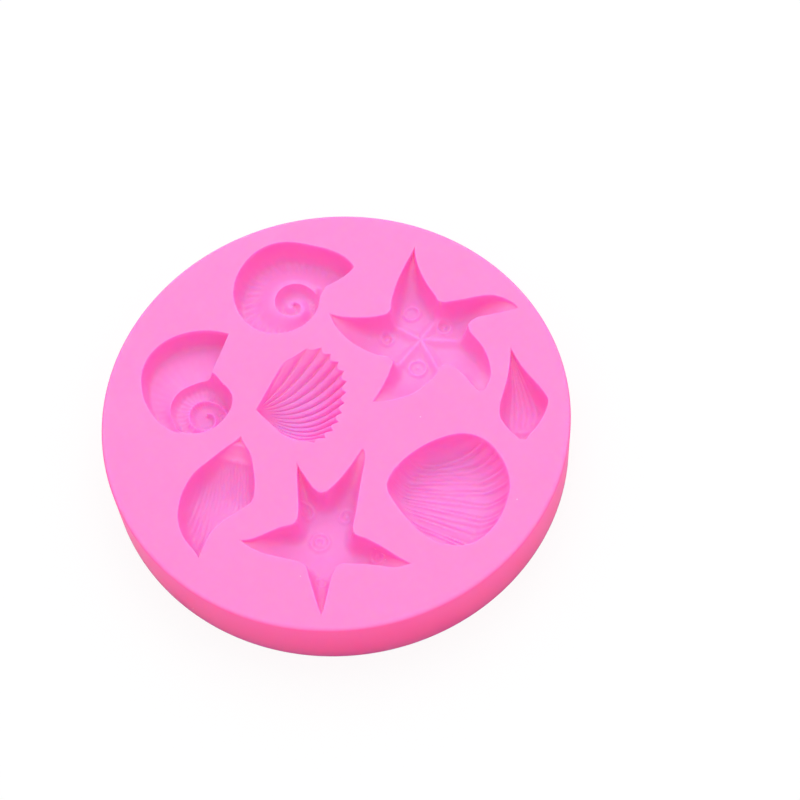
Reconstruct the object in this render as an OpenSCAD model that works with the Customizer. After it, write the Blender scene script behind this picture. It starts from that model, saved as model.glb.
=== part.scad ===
// Round flexible mould with eight sea-creature cavities, cast in one piece.
// Millimetres, +Z up, origin at the centre of the base.

/* [Mould body] */
// Diameter of the round mould
mould_diameter = 84; // [80:1:100]
// Silicone left under the deepest cavity
base_thickness = 5; // [2:0.5:10]
// Rounding of the upper rim
rim_round = 1.2; // [0.3:0.1:2]
// Rounding of the lower rim
foot_round = 0.6; // [0.2:0.1:1.5]
// Straight wall at the mouth of every cavity
mouth_wall = 0.8; // [0.3:0.1:1.6]

/* [Nautilus cavity] */
// Reach from the middle of the coil to the tip of the lip
nautilus_reach = 12.8; // [10:0.1:13.4]
// Depth below the top face
nautilus_depth = 7; // [4:0.25:9]
// Distance of the coil's middle from the rim
nautilus_inset = 14.5; // [13:0.1:16]
// Bearing of the coil's middle seen from the mould's centre
nautilus_bearing = 105; // [101:1:108]
// Ribs in one turn of the coil
nautilus_ribs = 28; // [18:1:32]
// Height of a rib
nautilus_rib_height = 0.35; // [0.1:0.05:0.6]

/* [Snail cavity] */
// Reach from the middle of the coil to the widest part of the outer whorl
snail_reach = 15; // [11:0.1:15.6]
// Depth below the top face
snail_depth = 7; // [4:0.25:9]
// Distance of the coil's middle from the rim
snail_inset = 18.6; // [17.8:0.1:19.6]
// Bearing of the coil's middle seen from the mould's centre
snail_bearing = 169; // [167:1:171]
// Ribs in one turn of the coil
snail_ribs = 24; // [16:1:30]
// Height of a rib
snail_rib_height = 0.3; // [0.1:0.05:0.6]

/* [Cockle cavity] */
// Length from the hinge to the farthest tooth
cockle_length = 18; // [14:0.1:19]
// Depth below the top face
cockle_depth = 6.5; // [4:0.25:9]
// Distance of the shell's middle from the mould's centre
cockle_offset = 5.6; // [5:0.1:6.4]
// Bearing of the shell's middle seen from the mould's centre
cockle_bearing = 155; // [145:1:165]
// Ribs from edge to edge
cockle_ribs = 14; // [10:1:18]
// Height of a rib
cockle_rib_height = 0.7; // [0.2:0.05:0.9]
// Length of the teeth round the shell's margin
cockle_tooth = 0.8; // [0.2:0.1:1.2]

/* [Clam cavity] */
// Length from the hinge to the farthest edge
clam_length = 21.8; // [16:0.1:22.6]
// Depth below the top face
clam_depth = 7; // [4:0.25:9]
// Distance of the shell's middle from the rim
clam_inset = 16.5; // [15:0.1:17.2]
// Bearing of the shell's middle seen from the mould's centre
clam_bearing = 318; // [316:1:320]
// Ribs from edge to edge
clam_ribs = 28; // [20:1:34]
// Height of a rib
clam_rib_height = 0.3; // [0.1:0.05:0.5]

/* [Conch cavity] */
// Length from tip to tip
conch_length = 25; // [18:0.1:25.6]
// Depth below the top face
conch_depth = 6.5; // [4:0.25:9]
// Distance of the shell's middle from the rim
conch_inset = 16.3; // [15.4:0.1:16.8]
// Bearing of the shell's middle seen from the mould's centre
conch_bearing = 215; // [213:1:216]
// Ribs from edge to edge
conch_ribs = 14; // [8:1:18]
// Height of a rib
conch_rib_height = 0.3; // [0.1:0.05:0.5]

/* [Whelk bud cavity] */
// Length from tip to tip
bud_length = 19.9; // [14:0.1:21]
// Depth below the top face
bud_depth = 5.5; // [4:0.25:9]
// Distance of the bud's middle from the rim
bud_inset = 9.4; // [8:0.1:10]
// Bearing of the bud's middle seen from the mould's centre
bud_bearing = 2; // [0:1:4]
// Ribs from edge to edge
bud_ribs = 9; // [6:1:12]
// Height of a rib
bud_rib_height = 0.25; // [0.1:0.05:0.5]

/* [Curled starfish cavity] */
// Reach of the longest arm from the middle
curled_reach = 20.6; // [15:0.1:21.2]
// Depth below the top face
curled_depth = 6.5; // [4:0.25:9]
// Distance of the middle from the rim
curled_inset = 21.1; // [20.4:0.1:21.8]
// Bearing of the middle seen from the mould's centre
curled_bearing = 38; // [37:1:39]

/* [Straight starfish cavity] */
// Reach of the longest arm from the middle
straight_reach = 18.7; // [14:0.1:19.2]
// Depth below the top face
straight_depth = 6.5; // [4:0.25:9]
// Distance of the middle from the rim
straight_inset = 17.2; // [16.4:0.1:17.8]
// Bearing of the middle seen from the mould's centre
straight_bearing = 260.5; // [259:0.5:262]

/* [Hidden] */

silicone_pink = [1, 0.58, 0.86];
mould_radius = mould_diameter / 2;
deepest = max(nautilus_depth, snail_depth, cockle_depth, clam_depth,
              conch_depth, bud_depth, curled_depth, straight_depth);
mould_height = base_thickness + deepest;
// Height by which each cutter stands above the top face
cutter_lift = mouth_wall;

// The way each lip or shell axis points
nautilus_heading = 16;
snail_heading = 72;
cockle_heading = 5;
clam_heading = -10;
conch_heading = 70.6;
bud_heading = 91;

// Radius of a coil's outer edge at each eighth of a turn from the lip inwards, as a share of the reach
eighth_turn = 45;
nautilus_coil = [1, 0.81, 0.82, 0.80, 0.81, 0.80, 0.67, 0.49,
                 0.36, 0.27, 0.25, 0.23, 0.21, 0.20, 0.19, 0.17, 0.13, 0.10, 0.08];
snail_coil = [0.95, 1, 0.83, 0.61, 0.48, 0.39, 0.35, 0.34,
              0.39, 0.40, 0.42, 0.40, 0.36, 0.31, 0.28, 0.25,
              0.21, 0.19, 0.18, 0.17, 0.16, 0.15, 0.13, 0.11, 0.09, 0.07];
// Angle by which the lip and the ribs lean back between the outer and the inner edge of a whorl
nautilus_lean = 19;
snail_lean = 7;
// Depth of the outer whorl beside that of the coil's middle
nautilus_body_share = 0.86;
snail_body_share = 0.68;
// Depth of the seam between two whorls beside that of the outer one
seam_share = 0.88;
coil_bands = 5;

// Spread of each fan about its heading, and its reach at equal steps of angle as a share of the length
cockle_spread = 112;
cockle_fan = [0.51, 0.74, 0.84, 0.88, 0.93, 1, 0.99, 0.90, 0.62];
clam_spread = 140;
clam_fan = [0.09, 0.48, 0.80, 0.95, 1, 0.98, 0.88, 0.55, 0.11];
fan_rows = [0.1, 0.22, 0.36, 0.52, 0.68, 0.82, 0.93, 1];
// Below 1, this moves the deepest part of a fan towards its hinge
umbo_shift = 0.75;
// Distance from the hinge over which a fan sinks to its depth, as a share of its length
umbo_run = 0.15;

// Half-widths of each spindle to the left and right of its axis at equal steps, as shares of the length
conch_left = [0, 0.153, 0.239, 0.270, 0.271, 0.240, 0.167, 0.086, 0];
conch_right = [0, 0.012, 0.040, 0.124, 0.228, 0.220, 0.174, 0.110, 0];
bud_left = [0, 0.113, 0.186, 0.171, 0.128, 0.085, 0.045, 0.025, 0];
bud_right = [0, 0.141, 0.226, 0.269, 0.231, 0.156, 0.083, 0.038, 0];
// Places along each spindle where one whorl meets the next, with the seam's half-width and height
conch_seams = [0.76, 0.88];
bud_seams = [0.12, 0.22];
seam_width = 0.03;
seam_height = 0.2;
spindle_rows = [0.03, 0.075, 0.17, 0.28, 0.39, 0.5, 0.61, 0.7, 0.82, 0.93, 0.975];

// Starfish outlines in shares of the reach, anticlockwise: for each arm the notch before it,
// the middle of its near edge, its tip and the middle of its far edge
curled_star = [[[0.41, 0.11], [0.61, 0.21], [0.87, 0.27], [0.56, 0.44]],
               [[0.20, 0.40], [0.08, 0.66], [0.02, 1.00], [-0.17, 0.66]],
               [[-0.25, 0.33], [-0.53, 0.30], [-0.78, 0.37], [-0.59, 0.04]],
               [[-0.28, -0.15], [-0.35, -0.34], [-0.46, -0.55], [-0.10, -0.50]],
               [[0.17, -0.25], [0.31, -0.37], [0.45, -0.55], [0.58, -0.26]]];
straight_star = [[[0.14, -0.28], [0.49, -0.33], [0.82, -0.33], [0.57, -0.12]],
                 [[0.32, 0.03], [0.40, 0.48], [0.45, 0.89], [0.25, 0.65]],
                 [[0.06, 0.46], [-0.05, 0.56], [-0.17, 0.80], [-0.20, 0.51]],
                 [[-0.21, 0.21], [-0.42, 0.13], [-0.73, 0.05], [-0.45, -0.15]],
                 [[-0.14, -0.23], [-0.12, -0.48], [-0.04, -0.75], [0.05, -0.51]]];
star_rows = 6;
star_columns = 6;
// Rings of points round a star's middle, as shares of the way to the arms' roots
hub_rows = [0.5, 0.8];
// Below 1, this keeps an arm deep for longer before it rises to its tip
arm_rise = 0.6;

function mix(a, b, t) = a + (b - a) * t;
function ease(from, to, t) =
    let (u = min(1, max(0, (t - from) / (to - from))))
    u * u * (3 - 2 * u);
// Half-round arch over 0 to 1, and a flatter one with steeper sides
function arch(t) = sqrt(max(0, 1 - pow(2 * t - 1, 2)));
function broad_arch(t) = sqrt(max(0, 1 - pow(abs(2 * t - 1), 3)));
// Ribs take two columns each, a crest and a groove
function rib_wave(i) = i % 2 == 0 ? -0.5 : 0.5;
function quad(a, b, c, d) = [[a, b, c], [a, c, d]];
function sorted(list) =
    len(list) == 0 ? [] : concat(sorted([for (v = list) if (v < list[0]) v]), [list[0]],
                                 sorted([for (v = list) if (v > list[0]) v]));

// Smooth value at place s of a list of values given at whole numbers
function along(list, s) =
    let (last = len(list) - 1,
         i = min(floor(s), last - 1),
         u = s - i,
         a = list[max(i - 1, 0)],
         b = list[i],
         c = list[i + 1],
         d = list[min(i + 2, last)])
    b + u * ((c - a) / 2 + u * (a - 2.5 * b + 2 * c - d / 2 + u * (1.5 * (b - c) + (d - a) / 2)));

// Curve through three points, the middle one halfway
function bow(a, b, c, t) = a * (1 - t) * (1 - 2 * t) + b * 4 * t * (1 - t) + c * t * (2 * t - 1);

// Lid of triangles from every place on the edge to the middle
function fan_lid(count) = [for (i = [0 : count - 1]) [(i + 1) % count, i, count]];

// Closed cutter: a sunk surface, the loop of its edge anticlockwise from above, and a lid over it.
// The lid's triangles name places in the loop, and the place after the last is the cutter's origin.
module cutter(points, faces, edge, lid) {
    base = len(points);
    count = len(edge);
    rim = [for (k = edge) [points[k].x, points[k].y, cutter_lift]];
    wall = [for (i = [0 : count - 1]) each
            quad(edge[i], base + i, base + (i + 1) % count, edge[(i + 1) % count])];
    cover = [for (t = lid) [for (k = t) base + k]];
    polyhedron(concat(points, rim, [[0, 0, cutter_lift]]), concat(faces, wall, cover));
}

// Coiled shell: one strip that winds inwards, each whorl sharing its inner edge with the next whorl
module coil_cutter(coil, reach, depth, lean, body_share, ribs, rib_height) {
    turn = 2 * ribs;
    step = 360 / turn;
    lean_columns = max(1, round(lean / step));
    stride = turn - lean_columns;
    last = floor((len(coil) - 1) * eighth_turn / step);
    cross = last - stride;
    lip_end = stride * step;
    inner_bands = coil_bands - 1;
    function radius(t) = reach * along(coil, t / eighth_turn);
    function crest(t) = depth * mix(body_share, 1, min(1, t / 720));
    function seam(t) =
        mix(mouth_wall, seam_share * crest(max(0, t - lip_end)), ease(lip_end, lip_end + 2 * eighth_turn, t));
    function spot(r, angle, z) = [r * cos(angle), r * sin(angle), -z];
    function outer(i) = spot(radius(i * step), i * step, seam(i * step));
    function between(i, w) =
        let (t = i * step,
             inner_t = t + lip_end,
             floor_z = mix(mix(seam(inner_t), seam(t), w), crest(t), arch(w)),
             z = floor_z + rib_height * rib_wave(i) * arch(w))
        spot(mix(radius(inner_t), radius(t), w), t - lean_columns * step * (1 - w), z);
    points = [for (i = [0 : last]) outer(i),
              for (i = [0 : cross], j = [1 : inner_bands]) between(i, j / coil_bands),
              [0, 0, -depth]];
    function at(i, j) =
        j == coil_bands ? i : j == 0 ? i + stride : last + i * inner_bands + j;
    core = concat([for (i = [cross : last]) i], [for (j = [1 : inner_bands]) at(cross, j)]);
    pole = len(points) - 1;
    faces = [for (i = [0 : cross - 1], j = [0 : inner_bands]) each
             quad(at(i, j), at(i, j + 1), at(i + 1, j + 1), at(i + 1, j)),
             for (k = [0 : len(core) - 1]) [core[k], core[(k + 1) % len(core)], pole]];
    edge = concat([for (i = [0 : stride]) i], [for (j = [1 : inner_bands]) at(0, j)]);
    cutter(points, faces, edge, fan_lid(len(edge)));
}

// Ribbed bivalve: rays from the hinge, which lies half the length behind the middle
module fan_cutter(fan, spread, length, depth, ribs, rib_height, tooth = 0) {
    columns = 2 * ribs;
    rows = len(fan_rows);
    hinge = [-length / 2, 0, -mouth_wall];
    function reach(i) =
        let (margin = tooth * (rib_wave(i) - 0.5) * broad_arch(i / columns))
        length * along(fan, (len(fan) - 1) * i / columns) + margin;
    function sunk(i, v) =
        let (slope = min(1, reach(i) * v / (umbo_run * length)),
             share = slope * broad_arch(i / columns) * broad_arch(pow(v, umbo_shift)))
        mouth_wall + (depth - mouth_wall + rib_height * rib_wave(i)) * share;
    function spot(i, v) =
        let (angle = spread * (i / columns - 0.5))
        [hinge.x + reach(i) * v * cos(angle), reach(i) * v * sin(angle), -sunk(i, v)];
    points = [hinge, for (i = [0 : columns], v = fan_rows) spot(i, v)];
    function at(i, j) = 1 + i * rows + j;
    faces = [for (i = [0 : columns - 1]) [0, at(i, 0), at(i + 1, 0)],
             for (i = [0 : columns - 1], j = [0 : rows - 2]) each
             quad(at(i, j), at(i, j + 1), at(i + 1, j + 1), at(i + 1, j))];
    edge = concat([0], [for (j = [0 : rows - 1]) at(0, j)],
                  [for (i = [1 : columns - 1]) at(i, rows - 1)],
                  [for (j = [rows - 1 : -1 : 0]) at(columns, j)]);
    cutter(points, faces, edge, fan_lid(len(edge)));
}

// Spindle shell: ribs run from tip to tip, and a raised seam crosses it where two whorls meet
module spindle_cutter(left, right, length, depth, ribs, rib_height, seams) {
    columns = 2 * ribs;
    rows = sorted(concat(spindle_rows, [for (s = seams) each [s - seam_width, s, s + seam_width]]));
    count = len(rows);
    function seam(v) = max([for (s = seams) max(0, 1 - abs(v - s) / seam_width)]);
    function sunk(i, v) =
        let (share = arch(i / columns) * broad_arch(v) * (1 - seam_height * seam(v)))
        mouth_wall + (depth - mouth_wall + rib_height * rib_wave(i)) * share;
    function spot(i, v) =
        let (s = v * (len(left) - 1))
        [length * (v - 0.5), length * mix(-along(right, s), along(left, s), i / columns), -sunk(i, v)];
    points = [[-length / 2, 0, -mouth_wall], [length / 2, 0, -mouth_wall],
              for (v = rows, i = [0 : columns]) spot(i, v)];
    function at(i, j) = 2 + j * (columns + 1) + i;
    faces = [for (i = [0 : columns - 1]) each [[0, at(i, 0), at(i + 1, 0)],
                                               [at(i, count - 1), 1, at(i + 1, count - 1)]],
             for (i = [0 : columns - 1], j = [0 : count - 2]) each
             quad(at(i, j), at(i, j + 1), at(i + 1, j + 1), at(i + 1, j))];
    edge = concat([0], [for (j = [0 : count - 1]) at(0, j)], [1],
                  [for (j = [count - 1 : -1 : 0]) at(columns, j)]);
    cutter(points, faces, edge, fan_lid(len(edge)));
}

// Starfish: a hub, and five arms that are each a strip from its root between two notches to its tip
module star_cutter(star, reach, depth) {
    arms = len(star);
    block = star_rows * (star_columns + 1) - 1;
    hubs = len(hub_rows);
    around = arms * star_columns;
    function near_edge(a, v) = bow(star[a][0], star[a][1], star[a][2], v);
    function far_edge(a, v) = bow(star[(a + 1) % arms][0], star[a][3], star[a][2], v);
    function sunk(u, v) = mouth_wall + (depth - mouth_wall) * broad_arch(u) * pow(1 - v, arm_rise);
    // Rows below 0 are the rings of the hub, which flatten out towards the middle
    function spot(a, i, j) =
        let (u = i / star_columns,
             v = max(0, j) / star_rows,
             share = j < 0 ? hub_rows[hubs + j] : 1,
             p = reach * share * mix(near_edge(a, v), far_edge(a, v), u))
        [p.x, p.y, -sunk(mix(0.5, u, share), v)];
    function arm(a) = [for (i = [1 : star_columns - 1]) spot(a, i, 0),
                       for (j = [1 : star_rows - 1], i = [0 : star_columns]) spot(a, i, j),
                       spot(a, 0, star_rows)];
    points = [[0, 0, -depth],
              for (a = [0 : arms - 1]) spot(a, 0, 0),
              for (a = [0 : arms - 1]) each arm(a),
              for (j = [-hubs : -1], a = [0 : arms - 1], i = [0 : star_columns - 1]) spot(a, i, j)];
    function start(a) = 1 + arms + a * block;
    function at(a, i, j) =
        j < 0 ? start(arms) + (hubs + j) * around + (a * star_columns + i) % around
        : j == star_rows ? start(a) + block - 1
        : j > 0 ? start(a) + j * (star_columns + 1) - 2 + i
        : i == 0 ? 1 + a
        : i == star_columns ? 1 + (a + 1) % arms
        : start(a) + i - 1;
    faces = [for (a = [0 : arms - 1], i = [0 : star_columns - 1]) each concat(
                 [[0, at(a, i, -hubs), at(a, i + 1, -hubs)],
                  [at(a, i, star_rows - 1), at(a, 0, star_rows), at(a, i + 1, star_rows - 1)]],
                 [for (j = [-hubs : star_rows - 2]) each
                  quad(at(a, i, j), at(a, i, j + 1), at(a, i + 1, j + 1), at(a, i + 1, j))])];
    edge = [for (a = [0 : arms - 1]) each concat(
                [for (j = [0 : star_rows]) at(a, 0, j)],
                [for (j = [star_rows - 1 : -1 : 1]) at(a, star_columns, j)])];
    round_trip = 2 * star_rows;
    count = arms * round_trip;
    function near_place(a, j) = a * round_trip + j;
    function far_place(a, j) = ((a + 1) * round_trip - j) % count;
    lid = [for (a = [0 : arms - 1]) each concat(
               [[far_place(a, 0), near_place(a, 0), count],
                [near_place(a, star_rows - 1), far_place(a, star_rows - 1), near_place(a, star_rows)]],
               [for (j = [0 : star_rows - 2]) each
                quad(near_place(a, j), far_place(a, j), far_place(a, j + 1), near_place(a, j + 1))])];
    cutter(points, faces, edge, lid);
}

// Sets a cutter on the top face at a distance and bearing from the mould's centre
module on_top(distance, bearing, heading = 0) {
    translate([distance * cos(bearing), distance * sin(bearing), mould_height]) rotate(heading) children();
}

// The plain round casting with its rounded edges
module blank() {
    rotate_extrude($fn = 96) {
        square([mould_radius - rim_round, mould_height]);
        translate([0, foot_round]) square([mould_radius, mould_height - rim_round - foot_round]);
        square([mould_radius - foot_round, mould_height - rim_round]);
        translate([mould_radius - rim_round, mould_height - rim_round]) circle(rim_round);
        translate([mould_radius - foot_round, foot_round]) circle(foot_round);
    }
}

module mould_body() {
    color(silicone_pink) difference() {
        blank();
        on_top(mould_radius - nautilus_inset, nautilus_bearing, nautilus_heading)
            coil_cutter(nautilus_coil, nautilus_reach, nautilus_depth, nautilus_lean,
                        nautilus_body_share, nautilus_ribs, nautilus_rib_height);
        on_top(mould_radius - snail_inset, snail_bearing, snail_heading)
            coil_cutter(snail_coil, snail_reach, snail_depth, snail_lean,
                        snail_body_share, snail_ribs, snail_rib_height);
        on_top(cockle_offset, cockle_bearing, cockle_heading)
            fan_cutter(cockle_fan, cockle_spread, cockle_length, cockle_depth,
                       cockle_ribs, cockle_rib_height, cockle_tooth);
        on_top(mould_radius - clam_inset, clam_bearing, clam_heading)
            fan_cutter(clam_fan, clam_spread, clam_length, clam_depth, clam_ribs, clam_rib_height);
        on_top(mould_radius - conch_inset, conch_bearing, conch_heading)
            spindle_cutter(conch_left, conch_right, conch_length, conch_depth,
                           conch_ribs, conch_rib_height, conch_seams);
        on_top(mould_radius - bud_inset, bud_bearing, bud_heading)
            spindle_cutter(bud_left, bud_right, bud_length, bud_depth,
                           bud_ribs, bud_rib_height, bud_seams);
        on_top(mould_radius - curled_inset, curled_bearing)
            star_cutter(curled_star, curled_reach, curled_depth);
        on_top(mould_radius - straight_inset, straight_bearing)
            star_cutter(straight_star, straight_reach, straight_depth);
    }
}

mould_body();
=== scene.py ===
import math

import bmesh
import bpy
from mathutils import Matrix, Vector, kdtree, noise


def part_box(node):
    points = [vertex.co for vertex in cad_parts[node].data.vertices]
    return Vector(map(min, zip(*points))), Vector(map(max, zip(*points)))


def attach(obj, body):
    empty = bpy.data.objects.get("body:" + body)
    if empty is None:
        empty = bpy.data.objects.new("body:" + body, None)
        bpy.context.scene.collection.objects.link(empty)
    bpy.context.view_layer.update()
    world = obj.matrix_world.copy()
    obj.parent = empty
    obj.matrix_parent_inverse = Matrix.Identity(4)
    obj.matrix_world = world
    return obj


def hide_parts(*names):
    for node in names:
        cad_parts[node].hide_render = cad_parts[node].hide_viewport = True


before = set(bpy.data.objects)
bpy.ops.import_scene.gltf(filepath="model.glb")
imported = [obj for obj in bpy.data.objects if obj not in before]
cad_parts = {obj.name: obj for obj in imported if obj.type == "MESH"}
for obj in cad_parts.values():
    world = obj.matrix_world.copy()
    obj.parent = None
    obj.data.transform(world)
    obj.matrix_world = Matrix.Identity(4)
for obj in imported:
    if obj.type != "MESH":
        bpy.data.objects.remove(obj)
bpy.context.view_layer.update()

# Camera: a long lens in front of the mould and well above it, turned a little about its own axis
# as in the photograph. The point it aims at lies on the top face, right of the middle.
mm = 0.001
high_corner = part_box("mould_body")[1]
camera_lens = 90
camera_elevation = 61.5
camera_roll = -4.8
camera_distance = 357.8 * mm
aim = Vector((11.7 * mm, 1.2 * mm, high_corner.z))

camera = bpy.data.objects.new("camera", bpy.data.cameras.new("camera"))
camera.data.lens = camera_lens
tilt = Matrix.Rotation(math.radians(90 - camera_elevation), 4, "X")
roll = Matrix.Rotation(math.radians(camera_roll), 4, "Z")
camera.matrix_world = Matrix.Translation(aim) @ tilt @ roll @ Matrix.Translation((0, 0, camera_distance))
bpy.context.scene.collection.objects.link(camera)
bpy.context.scene.camera = camera


# Silicone block: one round pour of soft silicone with a flat base, a plumb wall and a softly
# rounded rim. It is spun here in millimetres, and its top is left open for the cavities.
mould_radius = high_corner.x / mm
mould_height = high_corner.z / mm
rim_round = 0.8
rim_steps = 10
foot_round = 0.3
foot_steps = 6
rim_land = 0.4
block_steps = 240
weld = 0.002


def corner_arc(middle, radius, start, end, steps):
    """Points of a rounded corner of the block's section, from one angle to another."""
    angles = [math.radians(start + (end - start) * i / steps) for i in range(steps + 1)]
    return [middle + radius * Vector((math.cos(a), math.sin(a))) for a in angles]


foot_middle = Vector((mould_radius - foot_round, foot_round))
rim_middle = Vector((mould_radius - rim_round, mould_height - rim_round))
section = [Vector((0, 0))]
section += corner_arc(foot_middle, foot_round, -90, 0, foot_steps)
section += corner_arc(rim_middle, rim_round, 0, 90, rim_steps)
section += [Vector((rim_middle.x - rim_land, mould_height))]

mould = bmesh.new()
section_verts = [mould.verts.new((point.x, 0, point.y)) for point in section]
section_edges = [mould.edges.new(pair) for pair in zip(section_verts, section_verts[1:])]
bmesh.ops.spin(mould, geom=section_verts + section_edges, cent=(0, 0, 0), axis=(0, 0, 1),
               dvec=(0, 0, 0), angle=math.tau, steps=block_steps, use_merge=True)
bmesh.ops.remove_doubles(mould, verts=mould.verts, dist=weld)


# Cockle cavity: a fan of broad ridges with a narrow groove between each two, which casts the sharp
# ribs of the shell. Every groove runs out into a pointed tooth at the margin.
cockle_offset = 5.9
cockle_bearing = 155
cockle_heading = 5
cockle_length = 18
cockle_depth = 6.8
cockle_deepest = 0.4
cockle_near_slope = 0.5
cockle_far_slope = 0.85
cockle_spread = 112
# Reach of the margin at even steps over the spread, in shares of the length.
cockle_fan = [0.42, 0.72, 0.83, 0.88, 0.93, 0.99, 0.99, 0.93, 0.57]
cockle_ribs = 15.5
cockle_rib_height = 0.5
cockle_rib_start = 0.3
cockle_rib_floor = 2
cockle_groove_sharpness = 2.5
cockle_tooth = 0.9
cockle_tooth_start = 0.12
cockle_hollow = 0.9
cockle_crowding = 1.5
cockle_grid = (155, 44)
mouth_round = 0.4
ripple_height = 0.07
ripple_size = 2.6
ripple_fade = 2.0


def ease(start, end, value):
    """Rises smoothly from 0 at the start to 1 at the end."""
    share = min(1, max(0, (value - start) / (end - start)))
    return share * share * (3 - 2 * share)


def through(values, place):
    """Smooth curve through values that are given at whole numbers."""
    last = len(values) - 1
    i = min(max(math.floor(place), 0), last - 1)
    t = place - i
    a, b, c, d = values[max(i - 1, 0)], values[i], values[i + 1], values[min(i + 2, last)]
    return b + t * ((c - a) / 2 + t * (a - 2.5 * b + 2 * c - d / 2 + t * (1.5 * (b - c) + (d - a) / 2)))


def bowl(across):
    """Depth share across an open hollow: none at its two edges, full in its middle."""
    return 4 * across * (1 - across)


def rolled(distance):
    """Softens a mouth: the skin leaves the top face level and turns down over a small radius."""
    inside = min(1, max(0, distance / mouth_round))
    return 1 - math.sqrt(1 - inside * inside)


def polar(radius, degrees):
    """Point at a distance and bearing from the origin."""
    angle = math.radians(degrees)
    return Vector((radius * math.cos(angle), radius * math.sin(angle)))


def sink(shape, grid, middle, heading=0.0):
    """Adds a grid of skin below the top face; shape gives each point's place and its depth."""
    turn = Matrix.Rotation(math.radians(heading), 2)
    columns, rows = grid
    verts = bmesh.ops.create_grid(mould, x_segments=columns, y_segments=rows, size=0.5)["verts"]
    for vert in verts:
        place, depth = shape(vert.co.x + 0.5, vert.co.y + 0.5)
        place = middle + turn @ place
        ripple = ripple_height * noise.noise(Vector((place.x, place.y, 0)) / ripple_size)
        vert.co = (*place, mould_height - depth - ripple * min(1, depth / ripple_fade))
    bmesh.ops.remove_doubles(mould, verts=verts, dist=weld)


def cockle(u, v):
    """The skin at a share u of the spread and v of the way from the hinge to the margin."""
    between = abs(math.sin(math.pi * cockle_ribs * u))
    ridge = 1 - (1 - between) ** cockle_groove_sharpness
    tooth = cockle_tooth * between * ease(0, cockle_tooth_start, min(u, 1 - u))
    reach = cockle_length * through(cockle_fan, u * (len(cockle_fan) - 1)) - tooth
    v = 1 - (1 - v) ** cockle_crowding
    ray = polar(reach * v, cockle_spread * (u - 0.5))
    side = math.radians(cockle_spread * min(u, 1 - u)) * reach * v
    far_side = u > cockle_deepest
    across = (u - cockle_deepest) / (1 - cockle_deepest if far_side else cockle_deepest)
    share = max(0, 1 - across * across) ** (cockle_far_slope if far_side else cockle_near_slope)
    floor = cockle_depth * share * bowl(v ** cockle_hollow)
    ribs = cockle_rib_height * ridge * ease(0, cockle_rib_start, v) * min(1, floor / cockle_rib_floor)
    return ray - Vector((cockle_length / 2, 0)), (floor - ribs) * rolled(min(side, reach * (1 - v)))


sink(cockle, cockle_grid, polar(cockle_offset, cockle_bearing), cockle_heading)


# Clam cavity: a deep round dish, with a steep far wall and a gentle rise to its margin on the right.
# Its fine, slightly wavy ribs run side by side from the hinge end, as if from a pole well outside it.
clam_pole = Vector((-3.2, -11.5))
clam_depth = 6.5
# Corners of the mouth, from the hinge end round by the far side.
clam_outline = [(8, -16), (8.2, -14.5), (9.6, -12.3), (12.2, -9.9), (16, -7.7), (20.4, -6.4), (24, -6.7),
                (27.1, -8.9), (29.2, -12.8), (29.8, -17), (28.9, -20.6), (26.6, -24.6), (23.2, -27.5),
                (19.6, -28.2), (16, -27.2), (12.9, -24.6), (10.2, -20.9), (8.5, -17.7)]
clam_rib_step = 2.5
clam_rib_height = 0.12
clam_rib_start = (8, 14)
clam_rib_edge = 1
clam_wall_ribs = 3
clam_rib_wave = 0.5
clam_wave_length = 12
clam_wave_angle = 3
clam_patch_length = 5
clam_patch_angle = 2
clam_patch_layer = 7
clam_run = 2.4
clam_hinge_run = 4.5
clam_hinge_span = (9, 15)
clam_margin_run = 7
clam_margin_span = (17, 29)
clam_grid = (260, 40)
wall_steepness = 2.5
outline_steps = 16
fine_steps = 80


def mix(a, b, share):
    """The value a share of the way from a to b."""
    return a + (b - a) * share


def crowd(share, amount=1.0):
    """Moves evenly spaced grid lines towards both ends, where the walls are steep."""
    return mix(share, (1 - math.cos(math.pi * share)) / 2, amount)


def closed_curve(points, steps):
    """Points of a smooth closed curve through a ring of corners."""
    corners = [Vector(point) for point in points]
    count = len(corners)
    curve = []
    for i in range(count):
        near = [corners[(i + k) % count] for k in (-1, 0, 1, 2)]
        curve += [through(near, 1 + k / steps) for k in range(steps)]
    return curve


def wall(distance, run, steepness=wall_steepness):
    """Depth share at a distance inside a steep edge, full once the run is past."""
    rest = 1 - min(1, max(0, distance / max(run, weld)))
    return 1 - rest ** steepness


def edge_of(points):
    """Gives a function that measures how far a place lies inside a closed row of points."""
    tree = kdtree.KDTree(len(points))
    for i, point in enumerate(points):
        tree.insert((*point, 0), i)
    tree.balance()
    return lambda place: tree.find((*place, 0))[2]


clam_edge = edge_of(closed_curve(clam_outline, fine_steps))
clam_rays = [(math.atan2(*(point - clam_pole).yx), (point - clam_pole).length)
             for point in closed_curve(clam_outline, outline_steps)]
clam_low = min(clam_rays)
clam_high = max(clam_rays)


def clam_chord(angle):
    """Distances from the pole at which a ray enters and leaves the clam's outline."""
    found = []
    for (a, near), (b, far) in zip(clam_rays, clam_rays[1:] + clam_rays[:1]):
        if min(a, b) <= angle < max(a, b):
            found.append(mix(near, far, (angle - a) / (b - a)))
    if len(found) < 2:
        end = min(clam_low, clam_high, key=lambda ray: abs(ray[0] - angle))
        return end[1], end[1]
    return min(found), max(found)


clam_columns = [mix(clam_low[0], clam_high[0], crowd(i / clam_grid[0])) for i in range(clam_grid[0] + 1)]
clam_chords = [clam_chord(angle) for angle in clam_columns]


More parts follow.
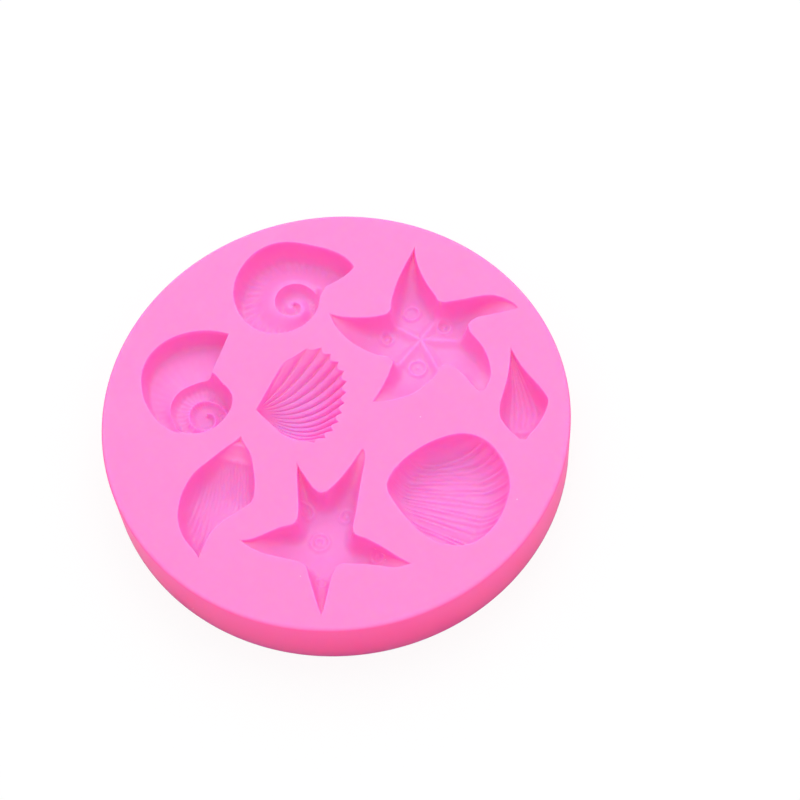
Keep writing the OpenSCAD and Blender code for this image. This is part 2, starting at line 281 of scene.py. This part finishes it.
def clam(u, v):
    """The skin on ray u of the clam's bundle, a share v of the way along it."""
    column = round(u * clam_grid[0])
    angle = math.degrees(clam_columns[column])
    near, far = clam_chords[column]
    v = crowd(v)
    ray = mix(near, far, v)
    place = clam_pole + polar(ray, angle)
    if min(v, 1 - v) < weld or column in (0, clam_grid[0]):
        return place, 0
    edge = clam_edge(place)
    hinge_run = mix(clam_hinge_run, clam_run, ease(*clam_hinge_span, place.x))
    run = mix(hinge_run, clam_margin_run, ease(*clam_margin_span, place.x))
    wave_place = Vector((ray / clam_wave_length, angle / clam_wave_angle, 0))
    wave = clam_rib_wave * noise.noise(wave_place)
    patch_place = Vector((ray / clam_patch_length, angle / clam_patch_angle, clam_patch_layer))
    strength = clam_rib_height * (1 + noise.noise(patch_place))
    slope = wall(edge, run)
    fade = ease(0, clam_rib_edge, edge) * ease(*clam_rib_start, place.x) * mix(1, clam_wall_ribs, 1 - slope)
    rib = strength * math.cos(math.tau * (angle / clam_rib_step + wave)) * fade
    return place, (clam_depth * slope + rib) * rolled(edge)


sink(clam, clam_grid, Vector((0, 0)))


# Nautilus cavity: one strip that winds inwards, each whorl a little deeper than the last, with a
# raised seam between the two. Fine ribs lie across the outer whorl.
nautilus_inset = 14.5
nautilus_bearing = 105
nautilus_heading = 16
nautilus_reach = 12.8
nautilus_depth = 7
# Radius of the outer edge at every eighth of a turn inwards, one turn a row, in shares of the reach.
nautilus_coil = [1.02, 0.81, 0.82, 0.80, 0.81, 0.80, 0.67, 0.50,
                 0.38, 0.325, 0.28, 0.24, 0.23, 0.235, 0.225, 0.16,
                 0.10, 0.07, 0.055, 0.045, 0.035, 0.03, 0.025, 0.02, 0.015]
eighth_turn = 45
nautilus_turn_steps = 144
nautilus_step = 360 / nautilus_turn_steps
nautilus_lean_steps = 16
nautilus_lean = nautilus_lean_steps * nautilus_step
nautilus_body_depth = 5.8
nautilus_sinking = (200, 480)
nautilus_seam_depths = (4.7, 6.4)
nautilus_seam_sinking = (580, 760)
nautilus_seam_run = 36
nautilus_ribs = 38
nautilus_rib_height = 0.13
nautilus_rib_stop = (400, 330)
nautilus_rib_side = (0.2, 0.7)
nautilus_mouth_fade = 40
nautilus_core_depth = 1
nautilus_lip_end = 360 - nautilus_lean
nautilus_columns = math.floor(((len(nautilus_coil) - 1) * eighth_turn - nautilus_lip_end) / nautilus_step)
nautilus_bands = 28
whorl_run = 1.5
whorl_run_share = 0.5
inner_whorl_share = 0.7
inner_whorl_steepness = 2
seam_slope = 0.5
lip_run = 0.9
lip_hook = 0.5
lip_hook_sharpness = 24
wall_crowding = 0.9


def nautilus_radius(t):
    """Radius of the outer edge, t degrees inwards along the coil from the lip."""
    return nautilus_reach * through(nautilus_coil, t / eighth_turn)


def nautilus_crest(t):
    """Depth of the middle of the whorl."""
    return mix(nautilus_body_depth, nautilus_depth, ease(*nautilus_sinking, t))


def nautilus_seam(t):
    """Depth of the outer edge: open at the top for one turn, then the seam with the whorl before."""
    depth = mix(*nautilus_seam_depths, ease(*nautilus_seam_sinking, t))
    return depth * ease(nautilus_lip_end, nautilus_lip_end + nautilus_seam_run, t)


def nautilus(u, w):
    """The skin at a share u of the coil's length and w of the way from its inner to its outer edge."""
    t = round(u * nautilus_columns) * nautilus_step
    w = crowd(w, wall_crowding)
    inner, outer = nautilus_radius(t + nautilus_lip_end), nautilus_radius(t)
    radius = mix(inner, outer, w)
    lip = wall(math.radians(t) * radius, lip_run)
    closing = ease(nautilus_lip_end - nautilus_mouth_fade, nautilus_lip_end, t)
    open_edge = mix(outer - radius, mouth_round, closing)
    width = max(outer - inner, weld)
    climb = 1 - min(1, (radius - inner) / (seam_slope * width))
    sharp = wall(outer - radius, min(whorl_run, whorl_run_share * width))
    soft = wall(outer - radius, inner_whorl_share * width, inner_whorl_steepness)
    arch = mix(sharp, soft, ease(nautilus_lip_end, nautilus_sinking[1], t)) * (1 - climb * climb)
    fade = ease(*nautilus_rib_stop, t) * ease(*nautilus_rib_side, w)
    rib = nautilus_rib_height * math.cos(math.radians(t * nautilus_ribs)) * fade
    seam = mix(nautilus_seam(t + nautilus_lip_end), nautilus_seam(t), w)
    depth = mix(seam, nautilus_crest(t) + rib, arch * lip * rolled(open_edge))
    lean = nautilus_lean * mix(1 - w, (1 - w) ** lip_hook_sharpness, lip_hook)
    return polar(radius, t - lean), depth


sink(nautilus, (nautilus_columns, nautilus_bands),
     polar(mould_radius - nautilus_inset, nautilus_bearing), nautilus_heading)
core_height = mould_height - nautilus_core_depth
core_edges = [edge for edge in mould.edges
              if edge.is_boundary and max(vert.co.z for vert in edge.verts) < core_height]
bmesh.ops.triangle_fill(mould, edges=core_edges, use_beauty=True, normal=(0, 0, 1))


# Snail cavity: a round spire of two whorls with a raised spiral seam, and a broad body whorl that
# sweeps round its far side from a straight lip. It is laid out as rays from the middle of the spire.
snail_pole = Vector((-23.6, 4.5))
snail_start = 72
snail_stop = 252
snail_tail = 195
snail_lean = 5
snail_lean_fade = 60
snail_step = 22.5
# Radii of the body whorl and of the spire at every step round, and of the seam at its own steps.
snail_body = [14.5, 14.75, 14.7, 13.7, 11.7, 9.95, 8.85, 8.0, 7.05]
snail_spire = [5.45, 5.2, 5.05, 5.78, 6.2, 6.15, 6.45, 6.6, 6.45, 6.15, 6.7, 7.0, 6.5, 6.0, 5.6, 5.5, 5.45]
snail_seam = [5.8, 4.3, 3.4, 2.8, 2.5, 2.6, 2.8, 3.0, 3.1, 3.15, 3.1, 2.9, 2.4, 1.6, 1.0, 0.65, 0.4, 0.25]
snail_turns = 2
snail_seam_start = -60
snail_seam_step = 30
snail_seam_height = 0.65
snail_seam_width = 0.7
snail_seam_fade = 1.2
snail_seam_side = (0.15, -0.35)
snail_heart = 1.2
snail_heart_seam = 0.6
snail_body_depth = 4.8
snail_ridge_depth = 4.2
snail_ridge_rise = (60, 92)
snail_ridge_open = 1
snail_spire_depths = (5.6, 7)
snail_beads = 34
snail_bead_height = 0.05
snail_bead_start = (1.5, 3)
snail_ribs = 45
snail_rib_height = 0.05
snail_columns = 180
snail_spire_rows = 44
snail_body_rows = 26
snail_crowding = 1.3
snail_run = 1.4


def snail_seam_radius(t):
    """Radius of the spiral seam, t degrees round from the spire's right, or nothing past its end."""
    place = (t - snail_seam_start) / snail_seam_step
    return through(snail_seam, place) if place < len(snail_seam) - 1 else 0


def snail_floor(bearing, radius, edge):
    """Depth inside the spire: the floor sinks as the whorl winds inwards, and the seam rises from it."""
    start = (bearing - snail_seam_start) % 360 + snail_seam_start
    seams = [snail_seam_radius(start + 360 * k) for k in range(snail_turns)]
    turns = sum(ease(*snail_seam_side, radius - seam) for seam in seams)
    wound = (start - snail_seam_start + 360 * turns) / (360 * snail_turns)
    floor = mix(*snail_spire_depths, max(min(1, wound), ease(snail_heart, 0, radius)))
    rise = sum(math.exp(-((radius - seam) / snail_seam_width) ** 2) for seam in seams if seam)
    rise *= snail_seam_height * ease(0, snail_seam_fade, edge - radius) * ease(0, snail_heart_seam, radius)
    bead = snail_bead_height * math.cos(math.radians(bearing * snail_beads))
    return floor + bead * ease(*snail_bead_start, radius) - rise


def snail(u, v):
    """The skin on ray u, at row v of the spire or of the body whorl outside it."""
    bearing = 360 * u
    edge = through(snail_spire, bearing / snail_step)
    within = min(max(bearing, snail_start), snail_stop)
    lip = math.radians(bearing - snail_start)
    tail = ease(snail_stop, snail_tail, bearing)
    ridge = snail_ridge_depth * ease(*snail_ridge_rise, bearing) * tail
    row = v * (snail_spire_rows + snail_body_rows)
    if row <= snail_spire_rows:
        radius = edge * (1 - (1 - row / snail_spire_rows) ** snail_crowding)
        depth = mix(ridge, snail_floor(bearing, radius, edge), wall(edge - radius, snail_run))
        open_edge = mix(edge - radius, mouth_round, ease(0, snail_ridge_open, ridge))
        return polar(radius, bearing), depth * rolled(open_edge)
    if not snail_start <= bearing <= snail_stop:
        return polar(edge, bearing), 0
    outside = through(snail_body, (within - snail_start) / snail_step)
    share = crowd((row - snail_spire_rows) / snail_body_rows, wall_crowding)
    radius = mix(edge, outside, share)
    closed = wall(lip * radius, lip_run)
    rib = snail_rib_height * math.cos(math.radians(bearing * snail_ribs))
    slope = wall(outside - radius, snail_run) * rolled(outside - radius)
    depth = (snail_body_depth + rib) * tail * slope
    climb = 1 - min(1, (radius - edge) / (seam_slope * (outside - edge)))
    lean = snail_lean * share * ease(snail_start + snail_lean_fade, snail_start, bearing)
    return polar(radius, bearing - lean), mix(ridge, depth, 1 - climb * climb) * closed


sink(snail, (snail_columns, snail_spire_rows + snail_body_rows), snail_pole)


# Conch and whelk bud cavities: spindle shells with fine lengthwise ribs. Raised seams cross each
# spire where one whorl meets the next.
conch_inset = 16.3
conch_bearing = 215
conch_heading = 70.6
conch_length = 25
conch_depth = 5.8
# Half widths on the left and the right at even steps along the length, in shares of it.
conch_left = [0, 0.153, 0.239, 0.270, 0.271, 0.240, 0.167, 0.086, 0]
conch_right = [0, 0.012, 0.040, 0.124, 0.228, 0.220, 0.174, 0.110, 0]
conch_seams = [0.82, 0.92]
conch_seam_height = 0.4
conch_seam_sag = 0.6
conch_spire_start = 0.55
conch_spire_share = 0.1
conch_rib_pole = Vector((27.1, 3.6))
conch_rib_step = 1.45
conch_rib_height = 0.08
conch_rib_stop = (0.85, 0.75)
bud_inset = 9.4
bud_bearing = 2
bud_heading = 91
bud_length = 19.9
bud_depth = 5.2
bud_left = [0.035, 0.125, 0.180, 0.170, 0.125, 0.080, 0.045, 0.022, 0]
bud_right = [0.035, 0.150, 0.235, 0.280, 0.235, 0.160, 0.088, 0.040, 0]
bud_seams = [0.06, 0.20]
bud_seam_height = 0.3
bud_seam_sag = 0.5
bud_tail_start = 0.35
bud_tail_share = 0.08
bud_ribs = 9
bud_rib_height = 0.1
bud_rib_start = (0.2, 0.3)
seam_width = 0.45
spindle_run = 2.2
spindle_run_share = 0.45
spindle_crown = 0.25
spindle_steps = 320
conch_grid = (96, 84)
bud_grid = (64, 76)


def spindle_place(left, right, length, u, v):
    """Place on a spindle, and the width there."""
    s = v * (len(left) - 1)
    left_width = length * max(0, through(left, s))
    right_width = length * max(0, through(right, s))
    return Vector((length * (v - 0.5), mix(-right_width, left_width, u))), left_width + right_width


def seam_rise(seams, length, v, sag):
    """Share of their full height by which raised seams lift the skin at v of a spindle's length."""
    return sum(math.exp(-((length * (v - s) + sag) / seam_width) ** 2) for s in seams)


def spindle_edge(left, right, length):
    """Gives a function that measures how far a place lies inside a spindle."""
    stations = [crowd(i / spindle_steps, wall_crowding) for i in range(spindle_steps + 1)]
    rim = [(u, v) for u in (0, 1) for v in stations]
    return edge_of([spindle_place(left, right, length, u, v)[0] for u, v in rim])


def spindle_share(edge, width):
    """Depth share at a distance inside a spindle's edge: a steep wall, then a gently rounded floor."""
    crown = bowl(min(0.5, edge / max(width, weld)))
    return mix(wall(edge, min(spindle_run, spindle_run_share * width)), crown, spindle_crown) * rolled(edge)


conch_edge = spindle_edge(conch_left, conch_right, conch_length)
bud_edge = spindle_edge(bud_left, bud_right, bud_length)


def conch(u, v):
    """The skin of the conch, from its right edge to its left and from its tail to its spire."""
    u, v = crowd(u, wall_crowding), crowd(v, wall_crowding)
    place, width = spindle_place(conch_left, conch_right, conch_length, u, v)
    if min(u, 1 - u, v, 1 - v) < weld:
        return place, 0
    to_pole = conch_rib_pole - place
    slant = math.degrees(math.atan2(to_pole.y, to_pole.x))
    rib = conch_rib_height * math.cos(math.tau * slant / conch_rib_step) * ease(*conch_rib_stop, v)
    rise = conch_seam_height * seam_rise(conch_seams, conch_length, v, conch_seam_sag * (2 * u - 1) ** 2)
    floor = conch_depth * mix(1, conch_spire_share, ease(conch_spire_start, 1, v))
    return place, spindle_share(conch_edge(place), width) * (floor + rib - rise)


def bud(u, v):
    """The skin of the whelk bud, from its right edge to its left and from its crown to its tail."""
    u, v = crowd(u, wall_crowding), crowd(v, wall_crowding)
    place, width = spindle_place(bud_left, bud_right, bud_length, u, v)
    if min(u, 1 - u, v, 1 - v) < weld:
        return place, 0
    rib = bud_rib_height * math.cos(math.tau * bud_ribs * u) * ease(*bud_rib_start, v)
    rise = bud_seam_height * seam_rise(bud_seams, bud_length, v, bud_seam_sag * (2 * u - 1) ** 2)
    floor = bud_depth * mix(1, bud_tail_share, ease(bud_tail_start, 1, v))
    return place, spindle_share(bud_edge(place), width) * (floor + rib - rise)


sink(conch, conch_grid, polar(mould_radius - conch_inset, conch_bearing), conch_heading)
sink(bud, bud_grid, polar(mould_radius - bud_inset, bud_bearing), bud_heading)


# Starfish cavities: five plump arms with steep walls and rounded notches between them. The curled one
# has a raised ridge from its crown to each notch, and both have small raised rings on the floor.
# Each bay below runs from one tip past the notch towards the next tip, in shares of the star's reach.
curled_inset = 21.1
curled_bearing = 38
curled_reach = 20.6
curled_depth = 5.6
curled_crown = (0, 0.16)
curled_ridge = 0.8
curled_bays = [[(0.90, 0.255), (0.84, 0.34), (0.66, 0.43), (0.36, 0.405), (0.205, 0.40), (0.165, 0.475),
                (0.085, 0.64), (0.03, 0.85)],
               [(0.03, 1.04), (-0.06, 0.87), (-0.17, 0.66), (-0.24, 0.46), (-0.265, 0.345), (-0.36, 0.31),
                (-0.52, 0.31), (-0.67, 0.335)],
               [(-0.81, 0.385), (-0.75, 0.22), (-0.62, 0.05), (-0.43, -0.09), (-0.28, -0.15),
                (-0.31, -0.27), (-0.36, -0.37), (-0.42, -0.47)],
               [(-0.49, -0.57), (-0.32, -0.57), (-0.10, -0.51), (0.08, -0.37), (0.17, -0.26), (0.25, -0.28),
                (0.33, -0.37), (0.41, -0.50)],
               [(0.46, -0.56), (0.53, -0.52), (0.59, -0.36), (0.55, -0.12), (0.43, 0.10), (0.50, 0.19),
                (0.63, 0.21), (0.77, 0.23)]]
# Middle of each group of rings, and the radii of its rings.
curled_rings = [((15.4, 10.4), (1.55, 0)), ((15.2, 22.1), (1.4,)), ((21.0, 18.5), (1.2, 0)),
                ((10.3, 17.0), (1.1, 0))]
straight_inset = 17.2
straight_bearing = 260.5
straight_reach = 18.7
straight_depth = 5.6
straight_crown = (0, 0.13)
straight_bays = [[(0.85, -0.34), (0.72, -0.25), (0.58, -0.14), (0.44, -0.04), (0.32, 0.04), (0.36, 0.25),
                  (0.42, 0.53), (0.485, 0.80)],
                 [(0.47, 0.90), (0.42, 0.87), (0.33, 0.74), (0.19, 0.57), (0.06, 0.47), (-0.02, 0.52),
                  (-0.08, 0.62), (-0.14, 0.74)],
                 [(-0.18, 0.85), (-0.19, 0.68), (-0.19, 0.48), (-0.195, 0.29), (-0.23, 0.18), (-0.37, 0.15),
                  (-0.51, 0.10), (-0.64, 0.06)],
                 [(-0.77, 0.055), (-0.66, -0.04), (-0.52, -0.12), (-0.35, -0.18), (-0.17, -0.25),
                  (-0.13, -0.38), (-0.10, -0.52), (-0.07, -0.66)],
                 [(-0.03, -0.81), (0.03, -0.62), (0.07, -0.47), (0.11, -0.36), (0.17, -0.29), (0.33, -0.30),
                  (0.50, -0.33), (0.68, -0.37)]]
straight_rings = [((-4.4, -22.9), (1.6, 0.7)), ((-6.5, -17.4), (1.3, 0)), ((5.5, -27.6), (1.1, 0)),
                  ((-4.4, -31.2), (1.0,)), ((0.5, -18.4), (1.1, 0))]
arm_grid = (30, 32)
bay_steps = 480
hub_rows = 16
count_slack = 1e-4
arm_run = 2.2
arm_run_share = 0.45
arm_tip_run = 12
arm_tip_share = 0.06
arm_tip_crowding = 0.5
ridge_width = 0.9
ring_height = 0.3
ring_width = 0.3
ring_margin = 3 * ring_width
ring_cuts = 2
ring_least_depth = 2


def part_way(point, line):
    """The point of a line from the origin that lies nearest to a point."""
    return line * min(1, max(0, point.dot(line) / line.length_squared))


def sink_star(bays, reach, depth, middle, crown, ridge):
    """Sinks one starfish round its crown; ridge is the height of the ridges from there to its notches."""
    crown = reach * Vector(crown)
    arms = len(bays)
    tip_to_tip = [bay + bays[(a + 1) % arms][:1] for a, bay in enumerate(bays)]
    bays = [[reach * Vector(point) for point in bay] for bay in tip_to_tip]
    tip = len(bays[0]) - 1
    notch = tip / 2
    stations = [tip * k / bay_steps for k in range(bay_steps)]
    inside = edge_of([through(bay, station) for bay in bays for station in stations])

    def floor(place, run):
        edge = inside(place)
        spoke = place - crown
        nearest = min((spoke - part_way(spoke, bay[tip // 2] - crown)).length for bay in bays)
        rise = ridge * math.exp(-(nearest / ridge_width) ** 2)
        lift = ease(0, arm_tip_run, min((place - bay[0]).length for bay in bays))
        return (depth * mix(arm_tip_share, 1, lift) - rise) * wall(edge, run) * rolled(edge)

    def across(a, u, v):
        near = through(bays[a], notch + (tip - notch) * v)
        far = through(bays[(a + 1) % arms], notch * (1 - v))
        return mix(near, far, u), min(arm_run, arm_run_share * (far - near).length)

    for a in range(arms):
        def arm(u, v):
            u, v = crowd(u, wall_crowding), mix(v, 1 - (1 - v) ** 2, arm_tip_crowding)
            place, run = across(a, u, v)
            return place, 0 if min(u, 1 - u, 1 - v) < weld else floor(place, run)

        sink(arm, arm_grid, middle)

    def hub(u, v):
        a = min(math.floor(u * arms + count_slack), arms - 1)
        u = crowd(min(1, max(0, u * arms - a)), wall_crowding)
        end, run = across(a, u, 0)
        place = mix(crown, end, v)
        return place, 0 if v > 1 - weld and min(u, 1 - u) < weld else floor(place, run)

    sink(hub, (arms * arm_grid[0], hub_rows), middle)


def raise_rings(centre, radii):
    """Raises small rings about one centre on a starfish's floor; one of no radius is a dot."""
    centre = Vector(centre)
    reach = max(radii) + ring_margin
    near = [face for face in mould.faces if (face.calc_center_median().xy - centre).length < reach]
    edges = dict.fromkeys(edge for face in near for edge in face.edges)
    bmesh.ops.subdivide_edges(mould, edges=list(edges), cuts=ring_cuts, use_grid_fill=True)
    for vert in mould.verts:
        distance = (vert.co.xy - centre).length
        if distance < reach and vert.co.z < mould_height - ring_least_depth:
            rise = sum(math.exp(-((distance - radius) / ring_width) ** 2) for radius in radii)
            vert.co.z += ring_height * rise


sink_star(curled_bays, curled_reach, curled_depth,
          polar(mould_radius - curled_inset, curled_bearing), curled_crown, curled_ridge)
sink_star(straight_bays, straight_reach, straight_depth,
          polar(mould_radius - straight_inset, straight_bearing), straight_crown, 0)
bmesh.ops.remove_doubles(mould, verts=mould.verts, dist=weld)
for centre, radii in curled_rings + straight_rings:
    raise_rings(centre, radii)


# Top face: the level land between the mouths of the cavities, closed from the rim to every mouth.
# The whole casting then becomes one piece in metres, which stands for the solid.
mouths = [edge for edge in mould.edges if edge.is_boundary]
bmesh.ops.triangle_fill(mould, edges=mouths, use_beauty=True, normal=(0, 0, 1))
bmesh.ops.recalc_face_normals(mould, faces=mould.faces)
for face in mould.faces:
    heights = {round(vert.co.z, 3) for vert in face.verts}
    face.smooth = not (len(heights) == 1 and heights <= {0.0, round(mould_height, 3)})
bmesh.ops.scale(mould, vec=(mm, mm, mm), verts=mould.verts)

mould_mesh = bpy.data.meshes.new("mould")
mould.to_mesh(mould_mesh)
mould.free()
casting = bpy.data.objects.new("mould", mould_mesh)
bpy.context.scene.collection.objects.link(casting)
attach(casting, "root")
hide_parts("mould_body")


# Pink silicone: an opaque satin rubber that light still enters by a few millimetres, most of all red.
# Painted shade makes steep walls a deeper pink, most near the mouths, and the outer wall darker towards
# its foot; painted light makes the cavities a little paler and cooler low down. It has a faint cloudy
# tone, a very fine grain and a few pale specks of dust.
# Painted shade on the outer wall, darker still towards its foot where it meets the floor.
wall_painted_shade = (0.97, 0.115, 0.38, 1)
foot_painted_shade = (0.95, 0.065, 0.26, 1)
# Painted shade on the steep walls inside the cavities.
steep_painted_shade = (0.97, 0.158, 0.58, 1)
# Painted light: a paler colour low in the cavities.
floor_painted_light = (0.97, 0.288, 0.70, 1)
silicone_pink = (0.97, 0.235, 0.58, 1)
silicone_pale = (0.97, 0.255, 0.61, 1)
speck_white = (0.95, 0.85, 0.92, 1)
scatter_depth = 2 * mm
scatter_share = (3.2, 0.3, 0.7)
silicone_roughness = 0.48
cloud_roughness = 0.08
silicone_shine = 0.35
cloud_scale = 70
cloud_detail = 3
grain_scale = 3500
grain_detail = 2
grain_strength = 0.25
grain_height = 0.04 * mm
speck_scale = 260
speck_size = 0.035
speck_rarity = 0.75
speck_strength = 0.4
# Slopes over which the painted shade of steep faces comes in.
level_facing = 1.0
steep_facing = 0.3
# Heights over which painted light makes the cavities paler, and how much it takes off their painted shade.
sunk_start = 11 * mm
sunk_end = 6.5 * mm
sunk_light = 0.75


class Shade:
    """A shader socket that takes plain arithmetic: every operator adds a Math node."""

    def __init__(self, tree, socket):
        self.tree = tree
        self.socket = socket

    def node(self, kind, settings, inputs, output=0):
        """Adds a node of a type, sets its settings first, then the values or links of its sockets."""
        made = self.tree.nodes.new(kind)
        for name, value in settings.items():
            setattr(made, name, value)
        for name, value in inputs.items():
            if isinstance(value, Shade):
                self.tree.links.new(value.socket, made.inputs[name])
            else:
                made.inputs[name].default_value = value
        return Shade(self.tree, made.outputs[output])

    def math(self, operation, a, b):
        return self.node("ShaderNodeMath", {"operation": operation}, {0: a, 1: b})

    def __add__(self, other):
        return self.math("ADD", self, other)

    def __sub__(self, other):
        return self.math("SUBTRACT", self, other)

    def __rsub__(self, other):
        return self.math("SUBTRACT", other, self)

    def __mul__(self, other):
        return self.math("MULTIPLY", self, other)

    def __lt__(self, other):
        return self.math("LESS_THAN", self, other)

    def __gt__(self, other):
        return self.math("GREATER_THAN", self, other)

    __radd__ = __add__
    __rmul__ = __mul__


def new_material(name):
    """A node material with its tree emptied but for the output, and the output's surface socket."""
    material = bpy.data.materials.new(name)
    material.use_nodes = True
    tree = material.node_tree
    tree.nodes.clear()
    output = tree.nodes.new("ShaderNodeOutputMaterial")
    return material, tree, output.inputs["Surface"]


def blend(share, first, second):
    """Mixes two colours, from the first at a share of 0 to the second at 1."""
    return share.node("ShaderNodeMix", {"data_type": "RGBA"},
                      {"Factor": share, "A": first, "B": second}, "Result")


silicone, tree, surface = new_material("pink_silicone")
start = Shade(tree, None)
place = start.node("ShaderNodeTexCoord", {}, {}, "Object")
cloud = place.node("ShaderNodeTexNoise", {},
                   {"Vector": place, "Scale": cloud_scale, "Detail": cloud_detail})
grain = place.node("ShaderNodeTexNoise", {},
                   {"Vector": place, "Scale": grain_scale, "Detail": grain_detail})
cells = place.node("ShaderNodeTexVoronoi", {}, {"Vector": place, "Scale": speck_scale}, "Distance")
pick = place.node("ShaderNodeTexVoronoi", {}, {"Vector": place, "Scale": speck_scale}, "Color")
chosen = pick.node("ShaderNodeSeparateColor", {}, {"Color": pick}, "Red")
speck = (cells < speck_size) * (chosen > speck_rarity)
tone_and_painted_light = blend(cloud, silicone_pink, silicone_pale)
facing = place.node("ShaderNodeTexCoord", {}, {}, "Normal")
level = facing.node("ShaderNodeSeparateXYZ", {}, {"Vector": facing}, "Z")
steep = level.node("ShaderNodeMapRange", {"interpolation_type": "SMOOTHSTEP"},
                   {"Value": level, "From Min": level_facing, "From Max": steep_facing})
sides = {name: place.node("ShaderNodeSeparateXYZ", {}, {"Vector": place}, name) for name in "XYZ"}
outside = sides["X"] * sides["X"] + sides["Y"] * sides["Y"] > ((mould_radius - rim_round) * mm) ** 2
raised = place.node("ShaderNodeMapRange", {},
                    {"Value": sides["Z"], "From Min": 0, "From Max": mould_height * mm})
sunk = place.node("ShaderNodeMapRange", {},
                  {"Value": sides["Z"], "From Min": sunk_start, "From Max": sunk_end})
# Painted shade: the outer wall darker towards its foot, and the steep walls of the cavities in a deeper
# painted shade of their own.
side = blend(raised, foot_painted_shade, wall_painted_shade)
painted_shade = blend(outside, steep_painted_shade, side)
# Painted light: the colour turns paler low in the cavities.
tone_and_painted_light = blend(sunk, tone_and_painted_light, floor_painted_light)
# Painted shade on steep faces, fading lower down inside the cavities, where painted light takes over.
shaded = steep * (1 - sunk_light * sunk * (1 - outside))
tone_and_painted_light = blend(shaded, tone_and_painted_light, painted_shade)
colour = blend(speck * speck_strength, tone_and_painted_light, speck_white)
bump = place.node("ShaderNodeBump", {},
                  {"Strength": grain_strength, "Distance": grain_height, "Height": grain})
rubber = place.node("ShaderNodeBsdfPrincipled", {}, {
    "Base Color": colour, "Roughness": silicone_roughness + cloud_roughness * cloud, "Normal": bump,
    "Subsurface Weight": 1.0, "Subsurface Radius": scatter_share, "Subsurface Scale": scatter_depth,
    "Specular IOR Level": silicone_shine})
tree.links.new(rubber.socket, surface)
mould_mesh.materials.append(silicone)


# Studio: a white floor, one large soft lamp above and behind the mould, and an even white room.
# The floor and the room look pure white to the camera, and the floor keeps a faint shadow.
floor_size = 4.0
paper_grey = (0.9, 0.9, 0.9, 1)
pure_white = (1, 1, 1, 1)
shadow_share = 0.12
room_light = 0.97
lamp_power = 1.3
lamp_size = 0.5
lamp_place = Vector((0.06, 0.32, 0.55))

floor_shape = bmesh.new()
bmesh.ops.create_grid(floor_shape, x_segments=1, y_segments=1, size=floor_size / 2)
floor_mesh = bpy.data.meshes.new("floor")
floor_shape.to_mesh(floor_mesh)
floor_shape.free()
floor = bpy.data.objects.new("floor", floor_mesh)
bpy.context.scene.collection.objects.link(floor)


def background_rays(start):
    """Is 1 for the rays that show the background: the camera's, and those in gloss or glass."""
    camera_ray, gloss_ray, glass_ray = [start.node("ShaderNodeLightPath", {}, {}, f"Is {kind} Ray")
                                        for kind in ("Camera", "Glossy", "Transmission")]
    return camera_ray + gloss_ray + glass_ray


paper, tree, surface = new_material("white_paper")
start = Shade(tree, None)
seen = background_rays(start)
matt = start.node("ShaderNodeBsdfDiffuse", {}, {"Color": paper_grey})
glow = start.node("ShaderNodeEmission", {}, {"Color": pure_white, "Strength": 1.0})
shown = start.node("ShaderNodeMixShader", {}, {0: 1 - shadow_share, 1: matt, 2: glow})
white = start.node("ShaderNodeMixShader", {}, {0: seen, 1: matt, 2: shown})
tree.links.new(white.socket, surface)
floor_mesh.materials.append(paper)

room = bpy.data.worlds.new("room")
room.use_nodes = True
room.node_tree.nodes.clear()
start = Shade(room.node_tree, None)
seen = background_rays(start)
ambient = start.node("ShaderNodeBackground", {}, {"Color": pure_white, "Strength": room_light})
backdrop = start.node("ShaderNodeBackground", {}, {"Color": pure_white, "Strength": 1.0})
walls = start.node("ShaderNodeMixShader", {}, {0: seen, 1: ambient, 2: backdrop})
room_output = room.node_tree.nodes.new("ShaderNodeOutputWorld")
room.node_tree.links.new(walls.socket, room_output.inputs["Surface"])
bpy.context.scene.world = room

lamp = bpy.data.objects.new("lamp", bpy.data.lights.new("lamp", "AREA"))
lamp.data.energy = lamp_power
lamp.data.size = lamp_size
lamp.location = lamp_place
lamp.rotation_euler = lamp_place.to_track_quat("Z", "Y").to_euler()
bpy.context.scene.collection.objects.link(lamp)
bpy.context.scene.view_settings.view_transform = "Standard"
